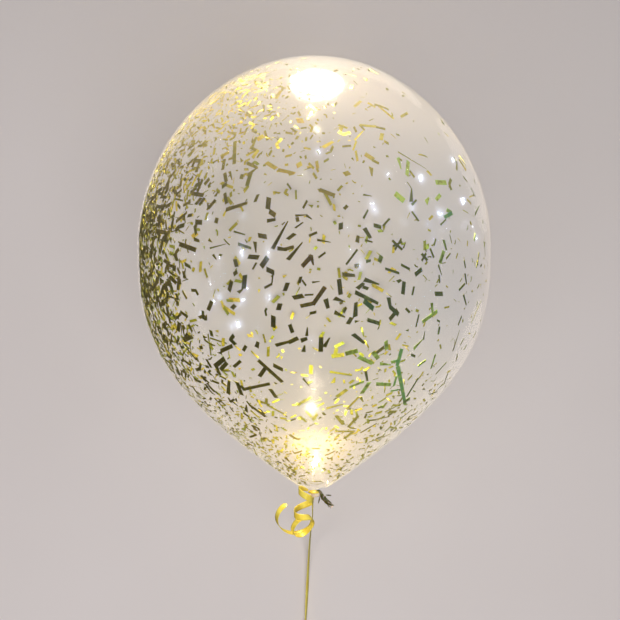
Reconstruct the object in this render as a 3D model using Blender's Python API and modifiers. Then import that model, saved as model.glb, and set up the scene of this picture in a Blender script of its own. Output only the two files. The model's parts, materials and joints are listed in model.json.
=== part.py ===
"""A clear teardrop balloon lying on its side, tied off at the neck with a curling ribbon.

Metres, +Z up. The floor is z = 0, the crown points along +Y and the tied neck along -Y.
The balloon is sealed and blown up tight, so its latex envelope is one solid.
"""

import math

import bpy
from mathutils import Vector

# Envelope
BALLOON_WIDTH = 0.280  # across the widest ring
CROWN_HEIGHT = 0.150  # widest ring to the crown
NECK_DEPTH = 0.195  # widest ring to the blunt end
TAPER_POWER = 1.4  # higher keeps the sides full for longer
GATHER_RADIUS = 0.0104  # blunt end, where the film is drawn together
GATHER_DEPTH = 0.0012  # blunt end's rim to the neck
FLAT_DEPTH = 0.002  # how far the film is pressed flat where the balloon lies
ENVELOPE_STEPS = 72
CROWN_POINTS = 15
TAPER_POINTS = 20

# Tied neck: the latex is wound round itself and its tail comes out beyond
NECK_RADIUS = 0.0032
NECK_LENGTH = 0.0024  # blunt end to the knot, where the ribbon is tied
KNOT_RING_RADIUS = 0.0022
KNOT_STRAND_RADIUS = 0.0016
KNOT_CORE_RADIUS = 0.0026
KNOT_SHIFT = 0.0012  # the knot sits a little to one side
KNOT_TILTS = (math.radians(15), math.radians(-18))
KNOT_STEPS = (20, 12)  # round and from pole to pole of the core
RING_STEPS = (20, 10)  # round each ring and round its strand
TAIL_LENGTH = 0.0175
TAIL_RADIUS = 0.0021
TAIL_SWING = math.radians(41)  # from straight out of the neck, towards +X
TAIL_DROOP = 0.0025
TAIL_STEPS = 10
LIP_RADIUS = 0.0005  # bead round the mouth of the neck

# Ribbon
RIBBON_WIDTH = 0.005
RIBBON_THICKNESS = 0.0005
RIBBON_STEP = 0.005  # between points along a ribbon
ROUTE_STEPS = 24  # between two given points of a route, before they are spaced evenly
BALL_STEPS = (16, 10)  # round and from pole to pole of each small ribbon knot
TIE_THICKNESS = 0.0011
TIE_EDGE = 0.0003
TIE_STEPS = 24
TIE_KNOT_RADIUS = 0.0021
TIE_KNOT_PROUD = 0.65  # share of its radius that its middle stands off the turns
TIE_KNOT_ANGLE = math.radians(-98)  # round the neck from +X towards +Z
CLEARANCE = 0.0004  # between neighbouring pieces

# The loose ribbon falls from the tie to the floor and runs straight away from the balloon,
# nearly on its edge like the loop at its end. The last number is its turn in degrees: 0 stands
# it on its edge, 90 lays it flat.
TETHER_ROUTE = (
    (-0.0010, -0.1681, 0.1314, 50),
    (-0.0010, -0.1750, 0.1304, 25),
    (-0.0011, -0.1840, 0.1255, 14),
    (-0.0013, -0.1925, 0.1150, 14),
    (-0.0015, -0.1990, 0.1000, 16),
    (-0.0018, -0.2050, 0.0800, 20),
    (-0.0022, -0.2110, 0.0580, 24),
    (-0.0027, -0.2185, 0.0370, 28),
    (-0.0033, -0.2285, 0.0190, 30),
    (-0.0040, -0.2420, 0.0085, 30),
    (-0.0049, -0.2590, 0.0040, 30),
    (-0.0058, -0.2780, 0.0026, 28),
    (-0.0067, -0.2960, 0.0026, 22),
    (-0.0075, -0.3111, 0.0026, 12),
)

# The curled short end, as the sleeve that its turns fill. The last number is its radius.
CURL_ROUTE = (
    (-0.0082, -0.1650, 0.1462, 0.0066),
    (-0.0080, -0.1710, 0.1462, 0.0070),
    (-0.0080, -0.1780, 0.1455, 0.0085),
    (-0.0110, -0.1840, 0.1445, 0.0110),
    (-0.0160, -0.1870, 0.1430, 0.0130),
)

# Finger loop at the far end of the loose ribbon, standing on its edge
END_KNOT_CENTRE = (-0.0078, -0.3145, 0.0025)
END_KNOT_RADII = (0.0026, 0.0030, 0.0024)
LOOP_LENGTH = 0.040
LOOP_WIDTH = 0.018
LOOP_START = 0.26  # radians of the loop hidden in the knot
LOOP_POINTS = 29  # odd, so that a flat stretch faces back from the far end
LOOP_FULLNESS = 0.77  # widest the teardrop gets, as a share of its formula's amplitude


def tail_offsets():
    """From the middle of the latex knot to the mouth of the neck, (x, y, z, radius share)."""
    step = TAIL_LENGTH / TAIL_STEPS
    x = y = 0.0
    points = []
    for i in range(TAIL_STEPS + 1):
        along = i / TAIL_STEPS
        points.append((x, y, -TAIL_DROOP * along**2, 0.86 + 0.14 * math.sin(math.pi * along)))
        swing = TAIL_SWING * min(1.0, 0.55 + along)
        x += step * math.sin(swing)
        y -= step * math.cos(swing)
    return points


def tail_mouth():
    """The middle of the bead round the mouth, the way out of it, and its radius."""
    before, end = (Vector(point[:3]) for point in tail_offsets()[-2:])
    out = (end - before).normalized()
    return end - out * LIP_RADIUS / 2, out, TAIL_RADIUS * tail_offsets()[-1][3]


def tail_reach():
    """How far the tail comes out beyond the middle of the knot."""
    middle, out, radius = tail_mouth()
    return radius * math.sqrt(1 - out.y**2) + LIP_RADIUS - middle.y


# The balloon's axis runs along Y, and its length is centred on the origin
KNOT_BACK = KNOT_RING_RADIUS * math.sin(max(map(abs, KNOT_TILTS))) + KNOT_STRAND_RADIUS
NECK_REACH = NECK_DEPTH + GATHER_DEPTH + NECK_LENGTH
WIDEST_Y = (NECK_REACH + KNOT_BACK + tail_reach() - CROWN_HEIGHT) / 2
AXIS_HEIGHT = BALLOON_WIDTH / 2 - FLAT_DEPTH
TIE_Y = WIDEST_Y - NECK_REACH + NECK_LENGTH / 2
KNOT_CENTRE = Vector((KNOT_SHIFT, WIDEST_Y - NECK_REACH - KNOT_BACK, AXIS_HEIGHT))

collection = None
cutters = None


def clear_scene():
    for found in list(bpy.data.objects):
        bpy.data.objects.remove(found, do_unlink=True)


def new_collection(name):
    made = bpy.data.collections.new(name)
    bpy.context.scene.collection.children.link(made)
    return made


def material(name, colour, roughness, metallic=0.0, alpha=1.0):
    made = bpy.data.materials.new(name)
    made.use_nodes = True
    shader = made.node_tree.nodes["Principled BSDF"]
    shader.inputs["Base Color"].default_value = (*colour, 1.0)
    shader.inputs["Roughness"].default_value = roughness
    shader.inputs["Metallic"].default_value = metallic
    shader.inputs["Alpha"].default_value = alpha
    return made


def add_object(name, data, home, finish=None):
    made = bpy.data.objects.new(name, data)
    home.objects.link(made)
    if finish:
        data.materials.append(finish)
    return made


def make_cutter(tool):
    """Keeps a shape that another object is cut by or joined to out of the model."""
    tool.hide_render = True
    tool.display_type = "WIRE"
    return tool


def primitive(name, home, finish=None):
    """Takes the primitive that was just added into its own collection."""
    made = bpy.context.active_object
    made.name = name
    for other in list(made.users_collection):
        other.objects.unlink(made)
    home.objects.link(made)
    if finish:
        made.data.materials.append(finish)
    return made


def ball(name, radius, steps, home, finish=None):
    bpy.ops.mesh.primitive_uv_sphere_add(segments=steps[0], ring_count=steps[1], radius=radius)
    return primitive(name, home, finish)


def boolean(target, tool, operation):
    step = target.modifiers.new(f"{operation} {tool.name}", "BOOLEAN")
    step.operation = operation
    step.object = tool
    step.solver = "EXACT"


def turned(name, profile, steps, home, finish=None, closed=False):
    """A profile of (radius, height) points, top to bottom, turned about its own Z axis."""
    mesh = bpy.data.meshes.new(name)
    edges = [(i, i + 1) for i in range(len(profile) - 1)]
    if closed:
        edges.append((len(profile) - 1, 0))
    mesh.from_pydata([(radius, 0.0, height) for radius, height in profile], edges, [])
    made = add_object(name, mesh, home, finish)
    screw = made.modifiers.new("Turn", "SCREW")
    screw.steps = steps
    screw.render_steps = steps
    screw.use_merge_vertices = True
    screw.merge_threshold = 0.00001
    screw.use_smooth_shade = True
    return made


def curve_mesh(curve, name, home):
    """The curve object as a closed mesh with its caps welded on; the curve is removed."""
    bpy.context.view_layer.update()
    evaluated = curve.evaluated_get(bpy.context.evaluated_depsgraph_get())
    mesh = bpy.data.meshes.new_from_object(evaluated)
    made = add_object(name, mesh, home)
    made.matrix_world = curve.matrix_world
    weld = made.modifiers.new("Weld caps", "WELD")
    weld.merge_threshold = 0.00001
    bpy.data.objects.remove(curve, do_unlink=True)
    return made


def smooth_route(points, spacing):
    """Evenly spaced points on a Catmull-Rom curve through the given ones, of any dimension."""
    ends = [points[0], *points, points[-1]]
    fine = []
    for a, b, c, d in zip(ends, ends[1:], ends[2:], ends[3:]):
        for k in range(ROUTE_STEPS):
            t = k / ROUTE_STEPS
            fine.append(
                tuple(
                    0.5
                    * (
                        2 * q
                        + (r - p) * t
                        + (2 * p - 5 * q + 4 * r - s) * t**2
                        + (3 * q - p - 3 * r + s) * t**3
                    )
                    for p, q, r, s in zip(a, b, c, d)
                )
            )
    fine.append(tuple(points[-1]))
    reach = [0.0]
    for a, b in zip(fine, fine[1:]):
        reach.append(reach[-1] + (Vector(b[:3]) - Vector(a[:3])).length)
    count = max(2, round(reach[-1] / spacing) + 1)
    even = []
    at = 0
    for i in range(count):
        wanted = reach[-1] * i / (count - 1)
        while at < len(reach) - 2 and reach[at + 1] < wanted:
            at += 1
        share = (wanted - reach[at]) / (reach[at + 1] - reach[at])
        even.append(tuple(a + (b - a) * share for a, b in zip(fine[at], fine[at + 1])))
    return even


def poly_curve(name, points, home, finish=None, radii=None, turns=None):
    data = bpy.data.curves.new(name, "CURVE")
    data.dimensions = "3D"
    data.use_fill_caps = True
    data.bevel_resolution = 2
    data.twist_mode = "Z_UP"
    spline = data.splines.new("POLY")
    spline.points.add(len(points) - 1)
    for i, (place, point) in enumerate(zip(points, spline.points)):
        point.co = (*place[:3], 1.0)
        point.radius = radii[i] if radii else 1.0
        point.tilt = turns[i] if turns else 0.0
    return add_object(name, data, home, finish)


def flat_ribbon(name, points, home, finish, turns=None):
    """A flat ribbon along the points, on its edge where its turn is 0."""
    made = poly_curve(name, points, home, finish, turns=turns)
    made.data.bevel_depth = RIBBON_THICKNESS / 2
    made.data.extrude = (RIBBON_WIDTH - RIBBON_THICKNESS) / 2
    return made


def envelope_profile():
    """Half an ellipse over the crown, a cosine taper to the blunt end, then the neck."""
    widest = BALLOON_WIDTH / 2
    profile = []
    for i in range(CROWN_POINTS):
        angle = math.pi / 2 * i / CROWN_POINTS
        profile.append((widest * math.sin(angle), CROWN_HEIGHT * math.cos(angle)))
    for i in range(TAPER_POINTS + 1):
        along = i / TAPER_POINTS
        fall = math.cos(math.pi / 2 * along**TAPER_POWER)
        profile.append((GATHER_RADIUS + (widest - GATHER_RADIUS) * fall, -NECK_DEPTH * along))
    for i in range(1, 4):
        angle = math.pi / 2 * i / 4
        drawn = GATHER_RADIUS - (GATHER_RADIUS - NECK_RADIUS) * (1 - math.cos(angle))
        profile.append((drawn, -NECK_DEPTH - GATHER_DEPTH * math.sin(angle)))
    profile.append((NECK_RADIUS, -NECK_DEPTH - GATHER_DEPTH))
    profile.append((NECK_RADIUS, -NECK_REACH - KNOT_BACK / 2))
    profile.append((0.0, -NECK_REACH - KNOT_BACK / 2))
    return profile


def floor_cutter():
    """The floor, which presses the lowest part of the envelope flat."""
    bpy.ops.mesh.primitive_cube_add(size=BALLOON_WIDTH)
    block = primitive("floor_cutter", cutters)
    block.location = (0.0, WIDEST_Y, -BALLOON_WIDTH / 2)
    return make_cutter(block)


def knot_ring(index, tilt):
    """One turn of the latex neck round itself."""
    bpy.ops.mesh.primitive_torus_add(
        major_radius=KNOT_RING_RADIUS,
        minor_radius=KNOT_STRAND_RADIUS,
        major_segments=RING_STEPS[0],
        minor_segments=RING_STEPS[1],
    )
    ring = primitive(f"knot_turn_{index}", cutters)
    ring.rotation_euler = (math.pi / 2 + tilt, 0.0, tilt)
    ring.location = KNOT_CENTRE
    return make_cutter(ring)


def knot_core():
    """The latex inside the turns, which closes the hole through them."""
    core = ball("knot_core", KNOT_CORE_RADIUS, KNOT_STEPS, cutters)
    core.location = KNOT_CENTRE
    return make_cutter(core)


def tail():
    points = [(*(KNOT_CENTRE + Vector(p[:3])), p[3]) for p in tail_offsets()]
    curve = poly_curve("tail_curve", points, cutters, radii=[p[3] for p in points])
    curve.data.bevel_depth = TAIL_RADIUS
    return make_cutter(curve_mesh(curve, "neck_tail", cutters))


def tail_lip():
    """The rolled bead round the mouth of the neck."""
    middle, out, radius = tail_mouth()
    bpy.ops.mesh.primitive_torus_add(
        major_radius=radius,
        minor_radius=LIP_RADIUS,
        major_segments=RING_STEPS[0],
        minor_segments=RING_STEPS[1],
    )
    bead = primitive("tail_lip", cutters)
    bead.rotation_euler = out.to_track_quat("Z", "Y").to_euler()
    bead.location = KNOT_CENTRE + middle
    return make_cutter(bead)


def balloon(latex):
    made = turned("balloon", envelope_profile(), ENVELOPE_STEPS, collection, latex)
    made.rotation_euler = (-math.pi / 2, 0.0, 0.0)
    made.location = (0.0, WIDEST_Y, AXIS_HEIGHT)
    boolean(made, floor_cutter(), "DIFFERENCE")
    boolean(made, knot_core(), "UNION")
    for index, tilt in enumerate(KNOT_TILTS, 1):
        boolean(made, knot_ring(index, tilt), "UNION")
    boolean(made, tail(), "UNION")
    boolean(made, tail_lip(), "UNION")
    return made


def tie_knot_centre():
    """On the underside of the turns, flush with their face towards the balloon."""
    radius = NECK_RADIUS + CLEARANCE + TIE_THICKNESS + TIE_KNOT_RADIUS * TIE_KNOT_PROUD
    return Vector(
        (
            radius * math.cos(TIE_KNOT_ANGLE),
            TIE_Y + NECK_LENGTH / 2 - CLEARANCE - TIE_KNOT_RADIUS,
            AXIS_HEIGHT + radius * math.sin(TIE_KNOT_ANGLE),
        )
    )


def ribbon_tie(satin):
    """The ribbon's turns round the neck, between the blunt end and the latex knot."""
    inner = NECK_RADIUS + CLEARANCE
    outer = inner + TIE_THICKNESS
    half = NECK_LENGTH / 2 - CLEARANCE
    profile = [
        (inner, half - TIE_EDGE),
        (inner + TIE_EDGE, half),
        (outer - TIE_EDGE, half),
        (outer, half - TIE_EDGE),
        (outer, TIE_EDGE - half),
        (outer - TIE_EDGE, -half),
        (inner + TIE_EDGE, -half),
        (inner, TIE_EDGE - half),
    ]
    made = turned("ribbon_tie", profile, TIE_STEPS, collection, satin, closed=True)
    made.rotation_euler = (-math.pi / 2, 0.0, 0.0)
    made.location = (0.0, TIE_Y, AXIS_HEIGHT)
    lump = make_cutter(ball("tie_knot", TIE_KNOT_RADIUS, BALL_STEPS, cutters))
    lump.location = tie_knot_centre()
    boolean(made, lump, "UNION")
    return made


def ribbon_curl(satin):
    points = smooth_route(CURL_ROUTE, RIBBON_STEP)
    made = poly_curve("ribbon_curl", points, collection, satin, radii=[p[3] for p in points])
    made.data.bevel_depth = 1.0
    return made


def ribbon_tether(satin):
    points = smooth_route(TETHER_ROUTE, RIBBON_STEP)
    turns = [math.radians(p[3]) for p in points]
    return flat_ribbon("ribbon_tether", points, collection, satin, turns)


def ribbon_end_knot(satin):
    made = ball("ribbon_end_knot", 1.0, BALL_STEPS, collection, satin)
    made.scale = END_KNOT_RADII
    made.location = END_KNOT_CENTRE
    return made


def ribbon_loop(satin):
    """A teardrop of ribbon on its edge, from the end knot out and back to it."""
    x, y, z = END_KNOT_CENTRE
    root = y - END_KNOT_RADII[1] - CLEARANCE
    half_width = LOOP_WIDTH / 2 / LOOP_FULLNESS
    points = []
    for i in range(LOOP_POINTS + 1):
        angle = LOOP_START + (2 * math.pi - 2 * LOOP_START) * i / LOOP_POINTS
        out = (math.cos(LOOP_START) - math.cos(angle)) / 2
        side = half_width * math.sin(angle) * math.sin(angle / 2)
        points.append((x + side, root - LOOP_LENGTH * out, z))
    return flat_ribbon("ribbon_loop", points, collection, satin)


def main():
    global collection, cutters
    clear_scene()
    collection = new_collection("glitter_balloon")
    cutters = new_collection("cutters")
    latex = material("clear_latex", (0.93, 0.90, 0.88), 0.12, alpha=0.3)
    satin = material("gold_ribbon", (0.85, 0.66, 0.10), 0.30)
    balloon(latex)
    ribbon_tie(satin)
    ribbon_curl(satin)
    ribbon_tether(satin)
    ribbon_end_knot(satin)
    ribbon_loop(satin)


main()
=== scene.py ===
import json
import math
import random

import bmesh
import bpy
from mathutils import Euler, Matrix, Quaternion, Vector

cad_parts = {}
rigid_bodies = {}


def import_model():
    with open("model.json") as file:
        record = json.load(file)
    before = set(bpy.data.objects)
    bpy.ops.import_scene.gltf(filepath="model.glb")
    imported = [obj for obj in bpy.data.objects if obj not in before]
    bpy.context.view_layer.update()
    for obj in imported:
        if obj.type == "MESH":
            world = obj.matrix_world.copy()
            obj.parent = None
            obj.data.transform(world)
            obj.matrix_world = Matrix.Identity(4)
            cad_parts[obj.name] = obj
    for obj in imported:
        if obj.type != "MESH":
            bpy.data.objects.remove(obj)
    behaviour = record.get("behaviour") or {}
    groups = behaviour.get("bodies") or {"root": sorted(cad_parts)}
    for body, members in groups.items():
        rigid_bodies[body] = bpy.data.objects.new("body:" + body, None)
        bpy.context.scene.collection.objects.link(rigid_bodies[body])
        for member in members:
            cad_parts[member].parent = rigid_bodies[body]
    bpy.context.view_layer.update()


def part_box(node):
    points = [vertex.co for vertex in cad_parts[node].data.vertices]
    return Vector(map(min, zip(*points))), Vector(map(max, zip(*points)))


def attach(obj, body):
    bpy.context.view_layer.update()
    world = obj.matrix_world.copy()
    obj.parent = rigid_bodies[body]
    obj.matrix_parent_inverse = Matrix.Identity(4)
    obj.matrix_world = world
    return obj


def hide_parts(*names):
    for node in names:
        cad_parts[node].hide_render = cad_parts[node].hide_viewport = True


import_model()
scene = bpy.context.scene
print("frame loaded")

# Seen straight from above, with the crown towards the top of the picture
view = {
    "place": (-0.0032, -0.0198, 1.038),
    "lens": 65.1,
    "sensor": 36.0,
    "pixels": 620,
}
focal = view["lens"] / view["sensor"] * view["pixels"]  # in pixels
middle = view["pixels"] / 2

balloonLow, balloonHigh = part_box("balloon")
envelope = {
    "widestBelow": 0.150,  # the solid's top
    "crownHeight": 0.1483,
    "crownPower": 1.84,
    "neckDepth": 0.195,
    "taperPower": 1.4,
    "gatherRadius": 0.0104,
    "gatherDepth": 0.0012,
    "neckRadius": 0.0032,
    "rings": (42, 66),  # in the crown and in the taper
    "gatherRings": 4,
    "leastRadius": 0.001,
    "ringPoints": 176,
    "pleats": 19,
    "pleatDepth": 0.075,  # share of the radius at the blunt end
    "pleatStart": 0.86,  # share of the taper
    "press": 0.0008,  # softens the edge of the flat spot
}
widest = (balloonHigh.x - balloonLow.x) / 2
axisHeight = balloonHigh.z - widest
widestY = balloonHigh.y - envelope["widestBelow"]
crownY = widestY + envelope["crownHeight"]
bluntY = widestY - envelope["neckDepth"]


# Small helpers

def linkNew(name, data):
    made = bpy.data.objects.new(name, data)
    scene.collection.objects.link(made)
    return made


# The mesh that an object's modifiers give
def modified(made):
    bpy.context.view_layer.update()
    return bpy.data.meshes.new_from_object(made.evaluated_get(bpy.context.evaluated_depsgraph_get()))


def meshFrom(name, points, faces, material=None, smooth=True):
    mesh = bpy.data.meshes.new(name)
    mesh.from_pydata([tuple(p) for p in points], [], faces)
    if material:
        mesh.materials.append(material)
    mesh.polygons.foreach_set("use_smooth", [smooth] * len(mesh.polygons))
    mesh.update()
    return mesh


def faceOutwards(mesh):
    work = bmesh.new()
    work.from_mesh(mesh)
    bmesh.ops.recalc_face_normals(work, faces=work.faces)
    work.to_mesh(mesh)
    work.free()
    return mesh


def addNode(tree, kind, inputs=None, **settings):
    node = tree.nodes.new(kind)
    for key, value in settings.items():
        setattr(node, key, value)
    for key, value in (inputs or {}).items():
        if isinstance(value, bpy.types.NodeSocket):
            tree.links.new(value, node.inputs[key])
        else:
            node.inputs[key].default_value = value
    return node


def newMaterial(name, **plain):
    made = bpy.data.materials.new(name)
    made.use_nodes = True
    shader = made.node_tree.nodes["Principled BSDF"]
    for key, value in plain.items():
        shader.inputs[key.replace("_", " ")].default_value = value
    return made, made.node_tree, shader


# A sum or product of sockets and values
def mixed(tree, how, *values):
    return addNode(tree, "ShaderNodeMath", dict(enumerate(values)), operation=how).outputs[0]


def mixedVectors(tree, how, first, second, output="Value"):
    return addNode(tree, "ShaderNodeVectorMath", {0: first, 1: second}, operation=how).outputs[output]


def noise(tree, where, scale, detail):
    given = {"Vector": where, "Scale": scale, "Detail": detail}
    return addNode(tree, "ShaderNodeTexNoise", given).outputs["Fac"]


def roughen(tree, shader, height, strength, distance):
    bump = addNode(tree, "ShaderNodeBump", {"Height": height, "Strength": strength, "Distance": distance})
    tree.links.new(bump.outputs["Normal"], shader.inputs["Normal"])


def objectPlace(tree):
    return addNode(tree, "ShaderNodeTexCoord").outputs["Object"]


def ramp(tree, factor, stops):
    node = addNode(tree, "ShaderNodeValToRGB", {"Fac": factor})
    marks = node.color_ramp.elements
    while len(marks) < len(stops):
        marks.new(0.5)
    for mark, (place, colour) in zip(marks, stops):
        mark.position = place
        mark.color = (*colour, 1.0)
    return node.outputs["Color"]


def splineAt(rows, at):
    spot = min(int(at), len(rows) - 2)
    around = [rows[min(max(spot + step, 0), len(rows) - 1)] for step in (-1, 0, 1, 2)]
    t = at - spot
    return [
        0.5 * (2 * q + (r - p) * t + (2 * p - 5 * q + 4 * r - s) * t**2 + (3 * q - p - 3 * r + s) * t**3)
        for p, q, r, s in zip(*around)
    ]


# A spline through the rows, as rows at even distances
def smoothRoute(rows, spacing, steps=24):
    fine = [splineAt(rows, i / steps) for i in range(steps * (len(rows) - 1) + 1)]
    reach = [0.0]
    for a, b in zip(fine, fine[1:]):
        reach.append(reach[-1] + (Vector(b[:3]) - Vector(a[:3])).length)
    count = max(2, round(reach[-1] / spacing) + 1)
    even = []
    at = 0
    for i in range(count):
        wanted = reach[-1] * i / (count - 1)
        while at < len(reach) - 2 and reach[at + 1] < wanted:
            at += 1
        share = (wanted - reach[at]) / (reach[at + 1] - reach[at])
        even.append([a + (b - a) * share for a, b in zip(fine[at], fine[at + 1])])
    return even


def headingAt(points, i):
    return (points[min(i + 1, len(points) - 1)] - points[max(i - 1, 0)]).normalized()


# Camera, floor and light

def makeCamera():
    data = bpy.data.cameras.new("camera")
    data.lens = view["lens"]
    data.sensor_width = view["sensor"]
    made = linkNew("camera", data)
    made.location = view["place"]
    scene.camera = made


def makeFloor():
    material, tree, shader = newMaterial("paleFloor", Roughness=0.75)
    cloud = noise(tree, objectPlace(tree), 3.0, 3.0)
    colour = ramp(tree, cloud, [(0.3, (0.66, 0.605, 0.605)), (0.7, (0.69, 0.635, 0.64))])
    tree.links.new(colour, shader.inputs["Base Color"])
    reach = 2.5
    corners = [(-reach, -reach, 0), (reach, -reach, 0), (reach, reach, 0), (-reach, reach, 0)]
    made = linkNew("floor", meshFrom("floor", corners, [(0, 1, 2, 3)], material))
    made.visible_glossy = False  # the foil mirrors a dim room, not a pale floor
    return made


def makeWorld():
    world = bpy.data.worlds.new("studio")
    world.use_nodes = True
    tree = world.node_tree
    where = addNode(tree, "ShaderNodeTexCoord").outputs["Generated"]
    lean = mixedVectors(tree, "DOT_PRODUCT", where, (0.4, 0.0, -0.175))
    colour = ramp(tree, mixed(tree, "ADD", lean, 0.5), [
        (0.0, (0.025, 0.025, 0.015)),
        (0.35, (0.05, 0.05, 0.03)),
        (1.0, (0.18, 0.21, 0.19)),
    ])
    tree.links.new(colour, tree.nodes["Background"].inputs["Color"])
    scene.world = world


def areaLamp(name, place, target, size, power, colour, receivers, glossy=True, diffuse=True, spread=180):
    data = bpy.data.lights.new(name, "AREA")
    data.shape = "ELLIPSE"
    data.size, data.size_y = size
    data.energy = power
    data.color = colour
    data.spread = math.radians(spread)
    made = linkNew(name, data)
    made.location = place
    made.rotation_euler = (Vector(target) - Vector(place)).to_track_quat("-Z", "Y").to_euler()
    made.visible_camera = False
    made.visible_glossy = glossy
    made.visible_diffuse = diffuse
    made.light_linking.receiver_collection = receivers
    return made


# Soft light, seen on the film as haze alone: place, target, size, power, colour, what it lights, and its
# spread in degrees where it isn't 180
hazes = {
    "front": ((-0.1, -0.5, 1.7), (0, -0.1, 0), (2.2, 1.6), 32, (1.0, 0.985, 0.985), "room"),
    "veil": ((-0.1, -0.5, 1.7), (0, -0.1, 0), (2.2, 1.6), 5, (1.0, 0.95, 0.90), "film"),
    "rimLeft": ((-1.0, 0.3, 0.14), (0, 0, 0.12), (0.5, 0.2), 11, (1.0, 0.87, 0.62), "film"),
    "rimRight": ((0.70, 0.6, 0.40), (0.06, 0.11, 0.19), (0.3, 0.2), 0.5, (1.0, 0.94, 0.90), "film", 60),
    "rimTop": ((-0.6, 0.55, 0.3), (-0.08, 0.09, 0.15), (0.3, 0.2), 0.8, (1.0, 0.80, 0.42), "film", 60),
    "rimLow": ((0.0, -0.75, 0.16), (0, -0.05, 0.13), (0.5, 0.2), 3.5, (1.0, 0.86, 0.40), "film"),
    "neck": ((0.004, -0.145, 0.27), (0, -0.145, 0.14), (0.05, 0.04), 0.2, (1.0, 0.87, 0.42), "film"),
    "glow": ((0.001, -0.134, 0.222), (0.001, -0.134, 0.1), (0.04, 0.03), 0.18, (1.0, 0.84, 0.34), "film"),
    "top": ((0.15, 0.75, 0.6), (0.03, 0.1, 0.2), (0.4, 0.3), 17, (0.95, 0.91, 1.0), "film"),
    "green": ((0.6, -0.6, 0.3), (0.05, -0.1, 0.12), (0.4, 0.3), 4, (0.80, 1.0, 0.66), "film"),
    "inner": ((0.0, 0.36, 0.19), (0, 0.1, 0.16), (0.12, 0.18), 2.5, (1.0, 0.80, 0.36), "film"),
    "cool": ((0.80, -0.10, 0.38), (0.05, -0.02, 0.16), (0.6, 0.5), 12, (0.22, 0.62, 1.0), "film"),
}
# The same rows, for lamps that are also mirrored
lamps = {
    "crown": ((0.006, 0.36, 0.18), (0.006, 0.16, 0.25), (0.12, 0.16), 1.2, (1.0, 0.84, 0.62), "film", 75),
    "column": ((0.004, 0.36, 0.15), (0, -0.08, 0.04), (0.028, 0.19), 0.05, (1.0, 0.86, 0.64), "film", 50),
    "foil": ((0.0, 0.25, 0.20), (0, 0.1, 0.16), (0.12, 0.18), 3.3, (1.0, 0.87, 0.62), "inside"),
    "highFoil": ((0.0, 0.0, 0.8), (0, 0.1, 0.1), (0.3, 0.3), 12, (1.0, 0.95, 0.66), "high"),
    "greenFoil": ((0.1, -0.2, 0.9), (0.1, -0.05, 0.2), (0.3, 0.3), 4, (0.95, 1.0, 0.80), "green"),
    "lowFoil": ((0.0, 0.25, 0.20), (0, 0.1, 0.16), (0.12, 0.18), 0.75, (1.0, 0.94, 0.80), "low"),
}
# Panels on the floor, mirrored along the film's rim: place, size, power, colour
bands = {
    "bandHigh": ((0.27, 0.16), (0.22, 0.20), 0.45, (1.0, 0.91, 0.86)),
    "bandRight": ((0.27, -0.11), (0.22, 0.16), 0.35, (1.0, 0.88, 0.76)),
    "bandCorner": ((0.18, -0.21), (0.20, 0.18), 0.35, (1.0, 0.87, 0.72)),
    "bandCrown": ((0.02, 0.32), (0.40, 0.18), 0.9, (1.0, 0.94, 0.86)),
    "bandTop": ((-0.19, 0.21), (0.20, 0.20), 0.45, (1.0, 0.80, 0.44)),
    "bandLeft": ((-0.17, 0.07), (0.05, 0.22), 0.2, (1.0, 0.88, 0.70)),
    "bandLow": ((0.0, -0.25), (0.46, 0.12), 0.35, (1.0, 0.84, 0.36)),
}
bandHeight = 0.004

# Reflections of small lights on the near film: colour, power, then pixels of the picture and area
glintDistance = 0.9
glintRadius = 0.017
glintLowest = 0.03  # above the floor
glints = {
    "cold": ((0.62, 0.74, 1.0), 1.8, [
        (421, 178, 1.6), (238, 324, 2.2), (453, 160, 0.9), (463, 201, 0.9), (375, 211, 1.2), (412, 207, 1.1),
        (440, 213, 1.4), (242, 253, 1.1), (268, 253, 0.9), (220, 297, 0.9), (243, 300, 0.9), (269, 296, 0.7),
        (208, 218, 0.5), (243, 216, 0.5), (360, 265, 1.0), (318, 152, 0.9), (404, 223, 0.4), (428, 224, 0.5),
        (445, 228, 0.5), (464, 225, 0.6), (473, 225, 0.4), (388, 174, 0.5), (253, 338, 0.4), (247, 288, 0.4),
        (261, 187, 0.3), (434, 235, 0.4), (477, 237, 0.4),
    ]),
    "warm": ((1.0, 0.90, 0.56), 1.8, [(311, 408, 5.0), (316, 462, 5.0), (303, 175, 0.5)]),
    "haze": ((0.60, 0.70, 1.0), 0.0022, [
        (421, 180, 20), (430, 190, 60), (450, 215, 60), (440, 230, 130), (375, 213, 20), (238, 322, 20),
        (240, 312, 60), (245, 255, 25),
    ]),
    "halo": ((1.0, 0.93, 0.84), 0.014, [(319, 86, 25), (319, 85, 45), (320, 84, 75), (320, 84, 110)]),
}


def ringRadius(y):
    if y >= widestY:
        share = min(1.0, (y - widestY) / envelope["crownHeight"])
        return widest * math.sqrt(1 - share ** envelope["crownPower"])
    along = min(1.0, (widestY - y) / envelope["neckDepth"])
    fall = math.cos(math.pi / 2 * along ** envelope["taperPower"])
    return envelope["gatherRadius"] + (widest - envelope["gatherRadius"]) * fall


# The place at a height that is seen at a pixel of the picture, and the size of a pixel there
def atHeight(px, py, z):
    scale = (view["place"][2] - z) / focal
    x = view["place"][0] + (px - middle) * scale
    y = view["place"][1] + (middle - py) * scale
    return Vector((x, y, z)), scale


# The pixel of the picture at which a point is seen
def pictureAt(point):
    away = view["place"][2] - point[2]
    px = middle + focal * (point[0] - view["place"][0]) / away
    return px, middle - focal * (point[1] - view["place"][1]) / away


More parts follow.
